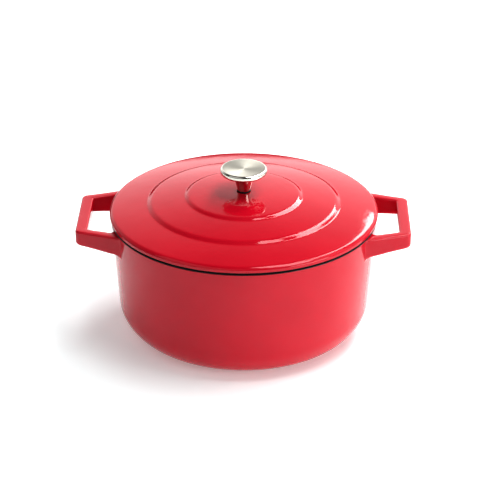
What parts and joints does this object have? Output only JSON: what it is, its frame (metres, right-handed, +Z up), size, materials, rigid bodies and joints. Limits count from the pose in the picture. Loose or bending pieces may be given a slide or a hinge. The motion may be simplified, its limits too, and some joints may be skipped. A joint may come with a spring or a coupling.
{
  "type": "dutch oven",
  "caption": "Round enamelled cast iron dutch oven with loop side handles, a stepped domed lid that lifts off, and a flared steel knob.",
  "frame": {"origin": "middle of the base, on the surface the oven stands on", "axes": "+Z up along the pot's axis, +X along the line through the two handles, -Y to the front"},
  "size_m": [0.3288, 0.266, 0.1721],
  "materials": {
    "red_enamel": "gloss red enamel outside, matte black enamel inside and on the rim",
    "stainless": "polished edge and stem, fine brushed top",
    "plain_steel": "plain zinc plated",
    "gasket": "matte"
  },
  "bodies": {
    "pot": {"pot_body": "red_enamel"},
    "lid": {"lid": "red_enamel", "knob_cap": "stainless", "knob_stem": "stainless", "knob_insert": "plain_steel", "knob_gasket": "gasket", "flat_washer": "plain_steel", "lock_washer": "plain_steel", "knob_screw": "plain_steel"}
  },
  "joints": [
    {"name": "lid_lift", "type": "slide", "parent": "pot", "child": "lid", "axis": [0, 0, 1], "range_m": [0, 0.15]}
  ]
}
